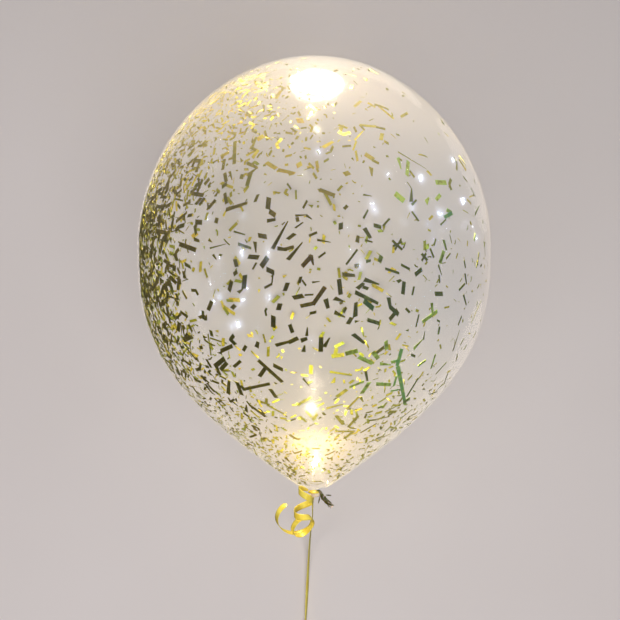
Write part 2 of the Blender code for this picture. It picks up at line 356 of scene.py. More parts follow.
# The place on the near (side 1) or far (side -1) film that is seen at a pixel of the picture, and its normal
def filmAt(px, py, side=1):
    z = axisHeight + widest * 0.8 * side
    for _ in range(30):  # settles well within these
        x, y, z = atHeight(px, py, z)[0]
        wanted = axisHeight + side * math.sqrt(max(ringRadius(y) ** 2 - x * x, 1e-8))
        z += (wanted - z) * 0.7
    small = 0.0005
    slope = (ringRadius(y + small) - ringRadius(y - small)) / (2 * small)
    normal = Vector((x, -ringRadius(y) * slope, z - axisHeight)).normalized()
    return Vector((x, y, z)), normal


def makeGlints(film):
    for tone, (colour, power, spots) in glints.items():
        for index, (px, py, share) in enumerate(spots):
            point, normal = filmAt(px, py)
            sight = (Vector(view["place"]) - point).normalized()
            away = 2 * normal.dot(sight) * normal - sight
            distance = glintDistance
            if away.z < 0:
                distance = min(distance, (point.z - glintLowest) / -away.z)
            size = glintRadius * 2 * distance * math.sqrt(share)
            watts = power * share * distance**2
            place = point + away * distance
            name = f"{tone}Glint{index:02}"
            areaLamp(name, place, point, (size, size), watts, colour, film, diffuse=False)


def makeLamps(lit):
    for group, glossy in ((hazes, False), (lamps, True)):
        for name, (place, target, size, power, colour, onto, *spread) in group.items():
            areaLamp(f"{name}Light", place, target, size, power, colour, lit[onto], glossy, True, *spread)
    for name, ((x, y), size, power, colour) in bands.items():
        place = (x, y, bandHeight)
        areaLamp(f"{name}Light", place, (x, y, 1), size, power, colour, lit["film"], diffuse=False)
    makeGlints(lit["film"])


def makeBloom():
    scene.use_nodes = True
    tree = scene.node_tree
    tree.nodes.clear()
    shot = addNode(tree, "CompositorNodeRLayers")
    glow = addNode(tree, "CompositorNodeGlare", {
        "Image": shot.outputs["Image"],
        "Threshold": 1.0,
        "Strength": 0.5,
        "Size": 0.3,
        "Maximum": 4.0,
        "Clamp": True,
    }, glare_type="BLOOM", quality="HIGH")
    addNode(tree, "CompositorNodeComposite", {"Image": glow.outputs["Image"]})


# Thin film, its base colour painted with light: painted shade makes it darker, cooler and clearer at its
# right side, a painted warm glow makes it yellower at the neck and a painted glow makes it paler at the crown
def clearLatex():
    material, tree, shader = newMaterial(
        "clearLatex",
        Alpha=0.055,
        Roughness=0.16,
        IOR=1.9,
        Coat_Weight=1.0,
        Coat_Roughness=0.03,
        Sheen_Weight=1.0,
        Sheen_Roughness=0.42,
        Sheen_Tint=(1.0, 0.90, 0.77, 1.0),
    )
    where = objectPlace(tree)
    # painted shade: the base colour darkens and cools towards the film's right side, with a random mottle
    flat = mixedVectors(tree, "MULTIPLY", where, (1.0, 1.0, 0.0), "Vector")
    away = mixedVectors(tree, "DISTANCE", flat, (0.135, 0.0, 0.0))
    side = mixed(tree, "MULTIPLY_ADD", noise(tree, where, 14.0, 2.0), 0.1, away)
    colour = ramp(tree, side, [
        (0.06, (0.10, 0.14, 0.17)),
        (0.15, (0.66, 0.60, 0.48)),
        (0.22, (0.74, 0.68, 0.57)),
    ])
    # painted light: a warm glow towards the neck and a paler, bluer glow towards the crown
    along = addNode(tree, "ShaderNodeSeparateXYZ", {"Vector": where}).outputs["Y"]
    tone = ramp(tree, mixed(tree, "MULTIPLY_ADD", along, 2.5, 0.5), [
        (0.12, (1.15, 0.93, 0.55)),
        (0.35, (1.0, 1.0, 1.0)),
        (0.58, (1.0, 1.0, 1.0)),
        (0.80, (1.24, 1.24, 1.32)),
    ])
    paintedLightColour = mixedVectors(tree, "MULTIPLY", colour, tone, "Vector")
    tree.links.new(paintedLightColour, shader.inputs["Base Color"])
    return material


def thickLatex(name, alpha):
    material, tree, shader = newMaterial(
        name,
        Alpha=alpha,
        Roughness=0.32,
        Subsurface_Weight=0.35,
        Subsurface_Radius=(0.004, 0.0025, 0.0018),
        Coat_Weight=0.5,
        Coat_Roughness=0.12,
    )
    cloud = noise(tree, objectPlace(tree), 420.0, 2.0)
    colour = ramp(tree, cloud, [(0.3, (0.86, 0.66, 0.50)), (0.7, (0.95, 0.82, 0.70))])
    tree.links.new(colour, shader.inputs["Base Color"])
    roughen(tree, shader, cloud, 0.25, 0.0003)
    return material


# Foil whose tint runs from amber over gold and olive to green: partly the foil's own colour, partly painted
# light, golden where warm light falls, green where cool light is reflected and dark olive where only the dim
# room is mirrored
def goldFoil():
    mirror = {"Metallic": 0.7, "Roughness": 0.38, "Specular_Tint": (0.5, 0.5, 0.3, 1.0)}
    material, tree, shader = newMaterial("goldFoil", **mirror)
    where = objectPlace(tree)
    tint = addNode(tree, "ShaderNodeAttribute", attribute_name="foilTint").outputs["Fac"]
    shift = mixed(tree, "MULTIPLY_ADD", noise(tree, where, 260.0, 1.0), 0.6, -0.3)
    # painted light and shade in the tint: dark olive, golden and green tones stand partly for reflected light
    colour = ramp(tree, mixed(tree, "ADD", tint, shift), [
        (0.0, (0.46, 0.27, 0.02)),
        (0.15, (0.64, 0.53, 0.07)),
        (0.40, (0.31, 0.29, 0.02)),
        (0.70, (0.23, 0.28, 0.03)),
        (0.86, (0.52, 0.70, 0.12)),
        (1.0, (0.22, 0.50, 0.14)),
    ])
    tree.links.new(colour, shader.inputs["Base Color"])
    roughen(tree, shader, noise(tree, where, 420.0, 1.0), 0.35, 0.0006)
    return material


# Ribbon with fine streaks along its run
def satinRibbon():
    satin = {"Metallic": 0.3, "Roughness": 0.35, "Coat_Weight": 0.5, "Coat_Roughness": 0.2}
    material, tree, shader = newMaterial("satinRibbon", **satin)
    run = addNode(tree, "ShaderNodeUVMap", uv_map="ribbonRun").outputs["UV"]
    stretch = addNode(tree, "ShaderNodeMapping", {"Vector": run, "Scale": (26.0, 90.0, 1.0)})
    streaks = noise(tree, stretch.outputs["Vector"], 1.0, 3.0)
    colour = ramp(tree, streaks, [(0.3, (0.92, 0.68, 0.07)), (0.7, (1.0, 0.86, 0.16))])
    tree.links.new(colour, shader.inputs["Base Color"])
    roughen(tree, shader, streaks, 0.15, 0.0002)
    return material


# The blown-up latex envelope

def ringAt(along):
    if along < 0:
        y = widestY + envelope["crownHeight"] * math.cos(math.pi / 2 * (1 + along))
    else:
        y = widestY - envelope["neckDepth"] * along
    return ringRadius(y), y


# The radius with its pleats, as two waves, so that no two pleats are alike
def pleated(radius, along, turn):
    start = envelope["pleatStart"]
    if along <= start:
        return radius
    share = ((along - start) / (1 - start)) ** 2
    wave = math.cos(envelope["pleats"] * turn + 1.3 * math.sin(2 * turn)) + 0.4 * math.cos(31 * turn + 2)
    return radius * (1 + envelope["pleatDepth"] * share * wave / 1.4)


def onFloor(z, inset=0.0):
    lift = z - inset
    return inset + (lift + math.sqrt(lift * lift + envelope["press"] ** 2)) / 2 - envelope["press"] / 16


# The film as rings from the crown to the neck; a last of 1 closes it with its gathered end
def envelopeMesh(name, rings, ringPoints, inset=0.0, last=1.0, material=None):
    crownRings, taperRings = rings
    alongs = [-1 + i / crownRings for i in range(1, crownRings)]
    alongs += [last * i / taperRings for i in range(taperRings + 1)]
    outlines = []
    for along in alongs:
        radius, y = ringAt(along)
        if along < 0:
            y = widestY + (y - widestY) * (1 - inset / envelope["crownHeight"])
        outlines.append((max(radius - inset, envelope["leastRadius"]), along, y))
    if last == 1.0:
        narrowing = envelope["gatherRadius"] - envelope["neckRadius"]
        for i in range(1, envelope["gatherRings"] + 1):
            bend = math.pi / 2 * i / envelope["gatherRings"]
            y = bluntY - envelope["gatherDepth"] * (1 - math.cos(bend))
            outlines.append((envelope["gatherRadius"] - narrowing * math.sin(bend), 1.0, y))
    points = [(0.0, crownY - inset, axisHeight)]
    for radius, along, y in outlines:
        for k in range(ringPoints):
            turn = 2 * math.pi * k / ringPoints
            here = pleated(radius, along, turn)
            z = axisHeight + here * math.sin(turn)
            if y >= bluntY:  # the gathered end is clear of the floor
                z = onFloor(z, inset)
            points.append((here * math.cos(turn), y, z))
    points.append((0.0, points[-1][1], axisHeight))
    faces = [(0, 1 + k, 1 + (k + 1) % ringPoints) for k in range(ringPoints)]
    for ring in range(len(outlines) - 1):
        a = 1 + ring * ringPoints
        b = a + ringPoints
        for k in range(ringPoints):
            n = (k + 1) % ringPoints
            faces.append((a + k, b + k, b + n, a + n))
    a = 1 + (len(outlines) - 1) * ringPoints
    faces += [(len(points) - 1, a + (k + 1) % ringPoints, a + k) for k in range(ringPoints)]
    return faceOutwards(meshFrom(name, points, faces, material))


def makeShell(material):
    mesh = envelopeMesh("latexShell", envelope["rings"], envelope["ringPoints"], material=material)
    shell = linkNew("latexShell", mesh)
    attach(shell, "root")
    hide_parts("balloon")
    print("latex shell made")
    return shell


# Foil shreds

flatSection = [(-1, -1), (1, -1), (1, 1), (-1, 1)]
roundSection = [(math.cos(math.pi * k / 8), math.sin(math.pi * k / 8)) for k in range(16)]


# A closed strip through stations of (middle, across, normal, half width), round where no thickness is given
def stripMesh(name, stations, thickness=None, material=None, section=flatSection, smooth=True):
    points = []
    uvs = []
    run = 0.0
    before = None
    for centre, across, normal, half in stations:
        if before is not None:
            run += (centre - before).length
        before = centre
        deep = thickness / 2 if thickness else half
        for u, v in section:
            points.append(centre + across * (u * half) + normal * (v * deep))
            uvs.append((u * half, run))
    n = len(section)
    faces = []
    for i in range(len(stations) - 1):
        for k in range(n):
            a = i * n + k
            b = i * n + (k + 1) % n
            faces.append((a, b, b + n, a + n))
    faces.append(tuple(reversed(range(n))))
    faces.append(tuple(len(points) - n + k for k in range(n)))
    mesh = meshFrom(name, points, faces, material, smooth)
    faceOutwards(mesh)
    layer = mesh.uv_layers.new(name="ribbonRun")
    for loop in mesh.loops:
        layer.data[loop.index].uv = uvs[loop.vertex_index]
    return mesh


shreds = {
    "thickness": 0.00012,
    "filmRings": (20, 30),
    "filmPoints": 72,
    "filmEnd": 0.985,
    "inset": 0.0014,
    "gap": 0.0005,  # to the film
    "ends": 0.002,  # room at the crown and at the neck
    "density": 12000.0,
    "nearShare": 0.10,
    "farShare": 0.30,
    "lean": 0.10,
    "seed": 11,
    "sizes": (0.55, 1.0),
    "tints": (0.20, 0.72),
    # tints of the shreds where warm light is painted
    "paintedGoldTints": (0.04, 0.24),
    "steps": 4,
    "plainBelow": 0.007,  # shorter ones have a single step
    "crease": 0.02,  # half the length of a fold, as a share of the shred
    # length, width, curl along it, twist, fold in its plane, place of the fold, slant, taper, copies
    "kinds": [
        (0.0100, 0.0036, 0.10, 0, 0, 0.50, 0.25, 0, 3),
        (0.0088, 0.0034, 0.05, 0.1, 0, 0.50, -0.5, 0, 3),
        (0.0125, 0.0034, 0.15, -0.1, 0, 0.50, 0, 0, 2),
        (0.0170, 0.0034, 0.30, 0.2, 0, 0.50, 0.2, 0, 1),
        (0.0135, 0.0034, 0.10, 0, 1.0, 0.45, 0, 0, 1),
        (0.0110, 0.0032, 0.10, 0, -1.5, 0.55, 0.3, 0, 1),
        (0.0062, 0.0034, 0.05, 0, 0, 0.50, 0.4, 0, 4),
        (0.0044, 0.0032, 0, 0, 0, 0.50, 0, 0, 4),
        (0.0055, 0.0036, 0, 0, 0, 0.50, 0, 0.95, 3),
        (0.0026, 0.0020, 0, 0, 0, 0.50, 0.4, 0.3, 7),
        (0.0034, 0.0013, 0, 0, 0, 0.50, 0, 0.4, 7),
        (0.0090, 0.0012, 0.20, 0.6, 0, 0.50, 0, 0.3, 5),
        (0.0120, 0.0020, 0.70, 0.9, 0, 0.50, 0, 0.2, 2),
        (0.0065, 0.0018, 0.10, 0, 0.7, 0.40, 0, 0.2, 3),
    ],
}


def shredMesh(name, length, width, curl, twist, fold, foldAt, slant, taper):
    steps = 1 if length < shreds["plainBelow"] and not fold else shreds["steps"]
    places = [i / steps for i in range(steps + 1)]
    if fold:
        places = sorted({*places, foldAt - shreds["crease"], foldAt + shreds["crease"]})
    stations = []
    centre = Vector((-length / 2, 0, 0))
    heading = -fold * foldAt / 2
    last = 0.0
    for place in places:
        turned = heading + (fold if place > foldAt else 0.0)
        rise = curl * (place - 0.5)
        flat = math.cos(rise)
        forward = Vector((math.cos(turned) * flat, math.sin(turned) * flat, -math.sin(rise)))
        centre = centre + forward * (length * (place - last))
        last = place
        side = Vector((-math.sin(turned), math.cos(turned), 0.0))
        normal = forward.cross(side).normalized()
        turn = Quaternion(forward, twist * (place - 0.5))
        half = width / 2 * (1 - taper * place)
        stations.append((centre.copy(), turn @ side + forward * slant, turn @ normal, max(half, 0.0001)))
    return stripMesh(name, stations, shreds["thickness"], smooth=False)


# Larger shreds, one by one, by film and tint: pixel of the middle, length, turn in degrees, width; their
# tints are partly painted light, golden high up where warm light falls and green at the right where cool
# light is reflected
strips = {
    "seed": 5,
    "inset": 0.0006,
    "sink": 0.0006,  # at most, besides the inset
    "slant": 0.45,
    "tapers": [0.0, 0.0, 0.0, 0.3, 0.7],
    "step": 5,  # pixels
    "near": {
        0.0: [(307, 261, 15, 47, 4.6), (312, 260, 11, -75, 4.6), (319, 296, 22, 55, 4.4)],
        0.15: [
            (271, 165, 12, -32, 4.3), (286, 171, 18, -12, 4.3), (289, 248, 10, 15, 3.5),
            (370, 156, 11, -33, 5), (299, 164, 6, 30, 5), (291, 173, 6, 0, 5),
        ],
        0.2: [(272, 213, 8, -35, 5), (357, 155, 11, -80, 2.5), (347, 173, 6, 20, 5), (372, 171, 9, -85, 4.8)],
        0.25: [
            (327, 192, 17, -21, 4), (358, 239, 7, 80, 4.5), (307, 305, 14, 12, 4), (382, 136, 7, 80, 4),
            (270, 372, 33, -42, 4), (254, 429, 7, -55, 3.4),
        ],
        0.3: [
            (236, 206, 23, 18, 4.2), (349, 275, 13, -5, 4.4), (298, 297, 11, 12, 4.6), (359, 135, 13, 48, 2),
            (355, 145, 10, 70, 2), (345, 310, 6, 60, 3.6), (350, 321, 8, 60, 4.4), (282, 344, 14, 15, 4),
            (304, 349, 7, 80, 4.6), (306, 383, 10, -50, 2.4), (257, 387, 26, 12, 3.6), (273, 394, 11, -55, 4),
            (257, 412, 20, -36, 3.4),
        ],
        0.35: [
            (280, 235, 32, 61, 4.3), (187, 247, 18, -20, 4.8), (262, 236, 9, -10, 4.8),
            (282, 249, 10, -8, 4.4), (295, 251, 23, 50, 4.3), (376, 161, 8, -25, 3), (291, 329, 9, -70, 4),
            (293, 341, 11, 25, 4.4), (304, 340, 7, 20, 5), (327, 343, 11, 58, 4.6), (257, 345, 6, 75, 4.8),
            (262, 373, 10, 55, 4.2),
        ],
        0.4: [
            (234, 152, 23, 88, 4), (196, 160, 6, -5, 4.2), (197, 166, 12, 72, 4), (223, 164, 11, 80, 3.4),
            (225, 177, 9, -80, 4), (230, 175, 9, -75, 3), (241, 176, 5, 80, 4.5), (252, 165, 12, -25, 4),
            (252, 171, 12, 38, 4), (199, 185, 14, 67, 3.5), (197, 194, 12, -10, 4.3), (206, 181, 8, 50, 4),
            (201, 201, 9, 52, 3.5), (211, 204, 12, 50, 3.5), (216, 193, 7, 60, 3), (225, 198, 11, -80, 3.8),
            (268, 203, 12, 84, 5), (271, 220, 9, 10, 4), (180, 217, 14, 40, 3.4), (184, 219, 8, -80, 3),
            (167, 205, 6, 30, 4.3), (178, 192, 8, 42, 3), (196, 240, 6, -20, 4), (255, 247, 11, -85, 4),
            (253, 257, 11, -5, 4.6), (264, 262, 12, 56, 5.5), (270, 271, 9, -25, 4.8), (268, 286, 9, 28, 2.5),
            (235, 263, 8, -75, 4.3), (230, 286, 11, 75, 4.3), (286, 287, 9, 70, 4.3), (184, 273, 10, 80, 3.4),
            (170, 266, 10, -12, 4), (178, 271, 7, -65, 3), (172, 280, 10, -45, 4.3), (166, 283, 9, 42, 4),
            (214, 257, 6, -55, 3.3), (301, 215, 12, 5, 2.6), (309, 217, 7, -35, 3), (313, 234, 9, 22, 2.6),
            (324, 241, 14, -10, 2.6), (340, 287, 16, -84, 4.6), (327, 304, 10, -75, 5.2),
            (339, 300, 10, -18, 4.8), (313, 313, 7, 12, 3), (340, 315, 12, -25, 4.6), (307, 332, 9, 85, 3.4),
            (321, 345, 15, 88, 4.6), (369, 429, 19, 30, 2.2), (273, 322, 12, 90, 4.8), (279, 307, 7, 75, 5),
            (209, 306, 10, 68, 4.6), (233, 307, 5, 45, 4.4), (205, 318, 6, 80, 4), (187, 339, 10, 25, 4.4),
            (226, 349, 13, 24, 4.4), (244, 349, 6, 60, 3.6), (208, 364, 10, -60, 3), (191, 355, 15, -50, 2.4),
            (228, 388, 14, 86, 4.4), (239, 389, 14, -70, 4.4), (222, 378, 7, -28, 2.6), (211, 390, 8, -48, 3),
            (203, 379, 8, -55, 3), (218, 403, 12, -47, 2.2), (234, 404, 9, -42, 3), (246, 409, 7, 90, 4),
            (196, 381, 7, -30, 5), (385, 438, 13, 25, 2), (486, 250, 13, -88, 1.2),
        ],
        0.45: [
            (305, 204, 9, 62, 2.4), (346, 207, 5, 45, 3.4), (299, 225, 10, 36, 2), (368, 233, 12, -58, 4.6),
            (361, 286, 9, 40, 4.6), (309, 295, 9, 3, 1.8), (316, 282, 8, 8, 2.2), (300, 280, 7, 75, 3),
            (304, 283, 7, -55, 2), (356, 310, 15, 87, 5), (359, 339, 15, -38, 4.3), (407, 415, 16, 38, 1.6),
            (396, 428, 14, 45, 1.4), (373, 442, 8, 20, 1.6), (383, 419, 15, 12, 1.4), (477, 312, 25, 66, 1.2),
            (457, 341, 22, 72, 2),
        ],
        0.5: [
            (198, 222, 7, -5, 5), (272, 279, 9, 85, 1.5), (235, 273, 5, 40, 4), (240, 291, 6, 35, 4),
            (254, 266, 8, 60, 2), (289, 186, 7, -55, 2), (413, 160, 34, -31, 1.5), (368, 195, 9, -10, 2),
            (412, 195, 13, 88, 4.6), (416, 216, 12, -55, 2.2), (341, 226, 7, 88, 4.4),
            (369, 241, 8, -15, 2.2), (352, 257, 19, 53, 2.2), (398, 245, 14, -43, 2.6),
            (398, 244, 10, 25, 2.4), (399, 244, 13, 60, 2.4), (405, 245, 7, 70, 2), (322, 255, 9, 36, 2.2),
            (467, 279, 11, -82, 2.8), (418, 321, 13, 77, 1.8), (367, 377, 10, -80, 3), (395, 408, 21, 27, 2),
            (219, 363, 13, 38, 5), (223, 367, 10, 48, 4.4), (447, 379, 11, 70, 1.8), (441, 388, 11, 50, 1.8),
            (434, 394, 8, 20, 1.6), (373, 421, 7, 5, 2.4), (463, 342, 8, 60, 2), (458, 358, 7, 80, 2),
            (440, 279, 8, -85, 2),
        ],
        0.6: [
            (217, 246, 17, 15, 1.8), (239, 233, 12, -16, 2), (244, 282, 14, 85, 5), (366, 214, 10, 62, 2.4),
            (387, 222, 10, 48, 2.2), (425, 257, 9, -50, 3), (425, 257, 9, 60, 2.4), (433, 253, 10, -68, 2.4),
            (436, 242, 7, 72, 2.4), (406, 267, 10, -28, 2.6), (419, 272, 9, 40, 4.6),
            (372, 282, 16, -18, 4.8), (400, 281, 4.5, 30, 4), (404, 288, 13, 84, 4.3), (414, 291, 9, 78, 2.2),
            (366, 288, 6, -20, 3.4), (440, 294, 8, 0, 4.6), (415, 202, 7, 45, 3), (444, 222, 8, 45, 2.4),
            (449, 256, 7, 52, 2.2), (441, 270, 11, -72, 2.4), (474, 192, 10, -62, 1.6),
            (480, 256, 7, 80, 2.6), (466, 264, 8, -80, 2.2), (478, 264, 8, 75, 2), (390, 303, 11, -80, 4.4),
            (395, 311, 12, -42, 4.4), (425, 336, 9, 80, 2), (413, 388, 22, 58, 2.2), (178, 327, 9, 80, 5.5),
            (442, 369, 16, 48, 1.8), (461, 321, 10, 68, 2.2), (463, 287, 9, 48, 2.6),
            (466, 300, 11, -75, 2.8),
        ],
        0.65: [(393, 271, 15, -18, 2.6)],
        0.7: [(244, 246, 14, -18, 3.4), (478, 210, 10, 65, 2.6)],
        0.75: [(378, 226, 8, -15, 4), (367, 298, 26, -26, 4.4), (374, 322, 13, -17, 4)],
        0.8: [(369, 261, 5, 10, 3.6), (407, 401, 8, 30, 5.5), (440, 331, 8, 80, 2.6)],
        0.85: [(381, 259, 7, 70, 4.6)],
        1.0: [(369, 305, 13, -40, 5)],
    },
    # painted reflection: green tints where cool light is reflected at the right and lower right
    "green": {
        0.15: [(393, 413, 8, 0, 4.4)],
        0.2: [(362, 400, 6, -60, 3.6)],
        0.74: [
            (376, 356, 9, -50, 4.4), (357, 385, 16, 22, 2.8), (446, 245, 11, -75, 3.4),
            (443, 257, 13, 72, 4.4),
        ],
        0.8: [
            (352, 353, 13, 14, 5), (366, 361, 16, -25, 4.3), (386, 365, 11, -6, 4), (387, 346, 9, -85, 4),
            (366, 389, 14, 56, 4), (384, 385, 15, -3, 4.3), (419, 345, 13, 47, 3.8), (431, 317, 19, 37, 3.8),
            (433, 309, 12, -85, 3.6), (423, 364, 10, 37, 2.8), (434, 362, 15, 73, 2.3),
            (381, 408, 6, 20, 3.4),
        ],
        0.85: [(450, 211, 6, -30, 4), (476, 237, 7, 80, 3.2)],
        0.95: [(396, 362, 9, 15, 4), (396, 382, 11, 75, 2.6), (395, 391, 8, 10, 2.4)],
        1.0: [(400, 358, 18, 75, 4.2), (402, 386, 39, -79, 4.8), (449, 215, 9, 30, 4)],
    },
    # painted light: golden tints where warm light falls near the crown
    "high": {
        0.1: [
            (260, 137, 8, 30, 5), (249, 114, 9, 10, 4.5), (278, 94, 9, 60, 3.5), (300, 120, 7, 0, 6),
            (328, 144, 12, 30, 4),
        ],
        0.15: [(358, 103, 9, 40, 3), (372, 104, 9, -30, 3), (386, 111, 22, -40, 3), (342, 127, 6, 45, 6)],
        0.3: [(405, 114, 8, 30, 3), (368, 125, 17, -5, 3), (343, 126, 10, -20, 2.6)],
    },
    "far": {
        0.1: [(234, 300, 11, -3, 4)],
        0.15: [(194, 235, 7, 40, 5)],
        0.2: [(173, 327, 6, 45, 5)],
        0.4: [(340, 188, 7, 48, 2.6)],
        0.85: [
            (400, 163, 12, -75, 4), (408, 168, 15, 85, 4), (400, 197, 12, -40, 6), (428, 200, 6, 60, 5.5),
            (427, 247, 6, 20, 5), (442, 182, 11, -2, 5), (439, 197, 7, 50, 4),
        ],
    },
    "low": {
        0.3: [(353, 404, 17, 45, 2.4)],
        0.34: [(263, 403, 14, -17, 4.4), (266, 402, 6, 85, 3)],
        0.35: [
            (268, 352, 10, 88, 3), (275, 410, 20, -28, 2.4), (338, 356, 13, 8, 4.6), (336, 352, 7, 80, 4),
            (342, 394, 13, 36, 4), (335, 407, 18, 14, 3), (309, 415, 9, -50, 3), (315, 418, 8, 50, 3.4),
            (311, 370, 9, 88, 4), (334, 381, 6, 70, 4.6),
        ],
        0.4: [
            (264, 339, 9, -75, 2), (341, 374, 23, -9, 2.8), (354, 422, 15, 48, 3.2), (345, 432, 20, 0, 2.4),
            (349, 436, 12, 40, 3.4), (337, 438, 8, 50, 3),
        ],
        0.45: [(302, 403, 11, 35, 3.4), (303, 420, 9, -40, 3), (340, 421, 12, -50, 3.4)],
        0.5: [(218, 341, 18, -18, 2), (209, 345, 22, -82, 1.6)],
        0.6: [(322, 335, 7, 60, 4)],
    },
}


def stripStations(px, py, length, turn, width, side, chance):
    steps = max(2, round(length / strips["step"]))
    angle = math.radians(turn)
    slant = chance.uniform(-1, 1) * strips["slant"]
    taper = chance.choice(strips["tapers"])
    sink = strips["inset"] + chance.uniform(0.0, strips["sink"])
    points = []
    normals = []
    for i in range(steps + 1):
        reach = length * (i / steps - 0.5)
        point, normal = filmAt(px + reach * math.cos(angle), py - reach * math.sin(angle), side)
        points.append(point - normal * sink)
        normals.append(normal)
    scale = atHeight(px, py, points[0].z)[1]
    stations = []
    for i, (point, normal) in enumerate(zip(points, normals)):
        forward = headingAt(points, i)
        across = normal.cross(forward).normalized()
        half = width / 2 * scale * (1 - taper * i / steps)
        stations.append((point, across + forward * slant, normal, half))
    return stations


# Several meshes as one, with the tint of each kept on its points
def joinTinted(name, meshes, tints, material):
    work = bmesh.new()
    values = []
    for mesh, tint in zip(meshes, tints):
        work.from_mesh(mesh)
        values += [tint] * len(mesh.vertices)
        bpy.data.meshes.remove(mesh)
    joined = bpy.data.meshes.new(name)
    work.to_mesh(joined)
    work.free()
    joined.materials.clear()
    joined.materials.append(material)
    kept = joined.attributes.new("foilTint", "FLOAT", "POINT")
    kept.data.foreach_set("value", values)
    return joined


def makeStrips(name, groups, material):
    chance = random.Random(strips["seed"])
    meshes = []
    tints = []
    for group, side in groups:
        for tint, rows in strips[group].items():
            for px, py, length, turn, width in rows:
                stations = stripStations(px, py, length, turn, width, side, chance)
                meshes.append(stripMesh("strip", stations, shreds["thickness"], smooth=False))
                tints.append(tint)
    made = linkNew(name, joinTinted(name, meshes, tints, material))
    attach(made, "root")
    print(name, "made:", len(made.data.polygons), "faces")
    return made


# Where the smaller shreds gather: pixels of the picture, reach in pixels, share on the near and the far film
clumps = [
    ((145, 225), 28, 10.0, 7.0),
    ((148, 290), 26, 9.0, 5.0),
    ((168, 345), 28, 5.0, 3.5),
    ((175, 160), 40, 5.0, 4.0),
    ((195, 390), 34, 3.0, 2.4),
    ((240, 435), 36, 3.0, 3.5),
    ((290, 468), 26, 5.0, 7.0),
    ((345, 470), 24, 1.6, 2.6),
    ((235, 110), 44, 2.0, 4.5),
    ((385, 330), 60, 0.2, 0.6),
    ((400, 395), 50, 0.6, 1.0),
    ((350, 440), 45, 0.6, 1.8),
    ((468, 285), 38, 0.1, 0.8),
    ((300, 120), 50, 0.5, 1.4),
]
# Where few lie: pixels of the picture, reach in pixels, share that is missing
sparse = [
    ((344, 132), 8, 0.95),
    ((335, 345), 25, 0.8),
    ((425, 130), 60, 0.75),
    ((315, 85), 30, 0.7),
    ((455, 310), 60, 0.7),
    ((265, 185), 45, 0.5),
]


# How near a point is to a spot of the picture, from 1 down to 0
def nearness(point, spot, reach):
    px, py = pictureAt(point)
    return math.exp(-((px - spot[0]) ** 2 + (py - spot[1]) ** 2) / reach**2)


def shredShare(point):
    near = point[2] > axisHeight
    share = shreds["nearShare"] if near else shreds["farShare"]
    for spot, reach, nearShare, farShare in clumps:
        share += (nearShare if near else farShare) * nearness(point, spot, reach)
    for spot, reach, lack in sparse:
        share *= 1 - lack * nearness(point, spot, reach)
    return share


# Where they are smaller, and more golden by painted warm light near the crown and the neck: pixels of the
# picture, reach in pixels, loss of size, gain in gold by painted warm light
finerAndPaintedWarm = [
    ((215, 110), 70, 0.38, 0.9),
    ((330, 100), 70, 0.35, 0.9),
    ((165, 160), 55, 0.12, 0.5),
    ((310, 465), 70, 0.50, 0.25),
    ((200, 420), 60, 0.40, 0.2),
    ((430, 380), 60, 0.35, 0.1),
    ((468, 280), 45, 0.55, 0.0),
]


def shredSizeAndPaintedWarmth(point):
    size = 1.0
    warm = 0.0
    for spot, reach, loss, gold in finerAndPaintedWarm:
        near = nearness(point, spot, reach)
        size *= 1 - loss * near
        # painted warm light, as a share from 0 to 1
        warm = max(warm, gold * near)
    return size, warm
